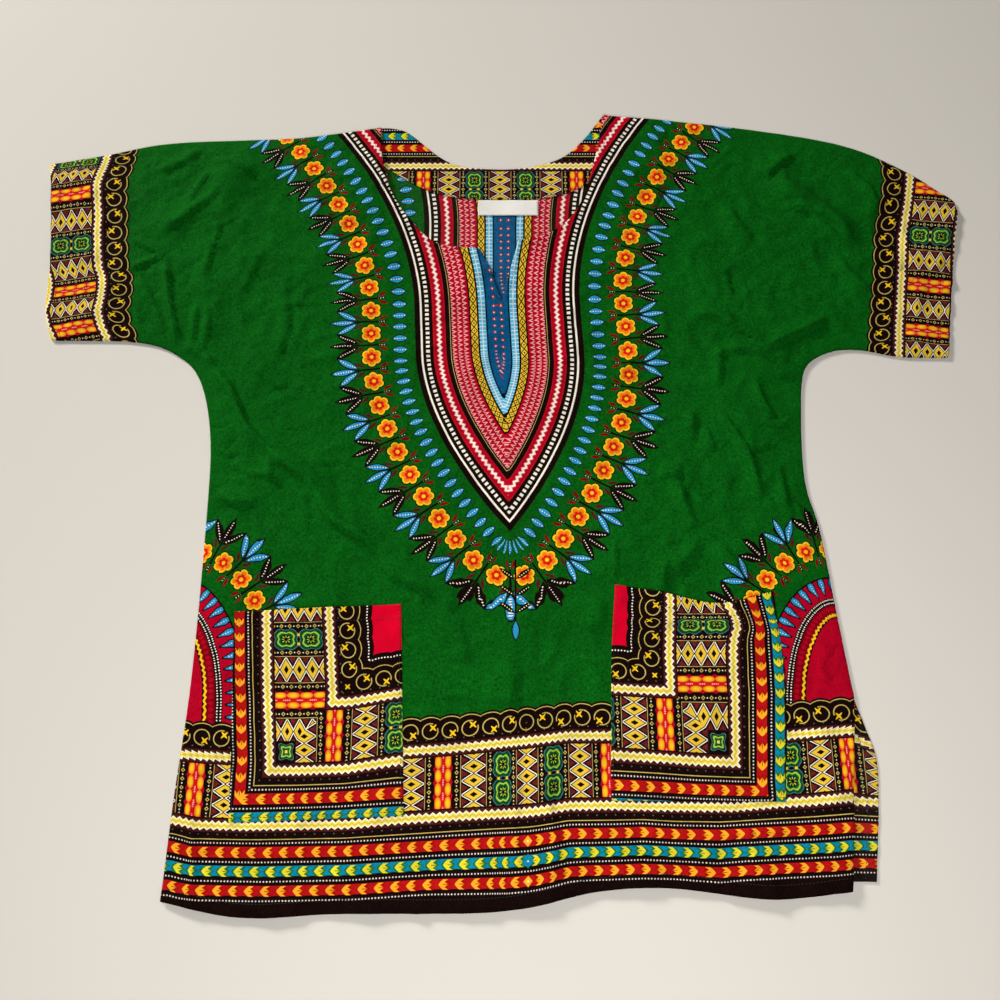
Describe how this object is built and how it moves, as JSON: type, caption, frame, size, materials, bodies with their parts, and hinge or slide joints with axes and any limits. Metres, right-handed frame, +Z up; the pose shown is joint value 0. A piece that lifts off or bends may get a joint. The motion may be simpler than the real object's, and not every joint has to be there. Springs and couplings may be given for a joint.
{
  "type": "dashiki shirt laid flat",
  "caption": "Short-sleeved pullover dashiki shirt of printed cotton, laid flat with its front up, with a scooped and slit neck, patch pockets and side vents.",
  "frame": {"origin": "middle of the shirt's box, on the floor under it", "axes": "+X across the shirt to the right as seen from above, +Y from the hem to the neck, +Z up from the floor"},
  "size_m": [1.004, 0.8414, 0.0121],
  "materials": {
    "green_print": "plain-woven cotton with a green ground and printed borders",
    "border_print": "plain-woven cotton printed with black, yellow, red and green border bands",
    "label_satin": "bare white woven satin tape"
  },
  "bodies": {
    "root": {"front_panel": "green_print", "back_panel": "green_print", "back_neck_facing": "border_print", "neck_label": "label_satin", "pocket_left": "border_print", "pocket_right": "border_print"}
  },
  "joints": []
}
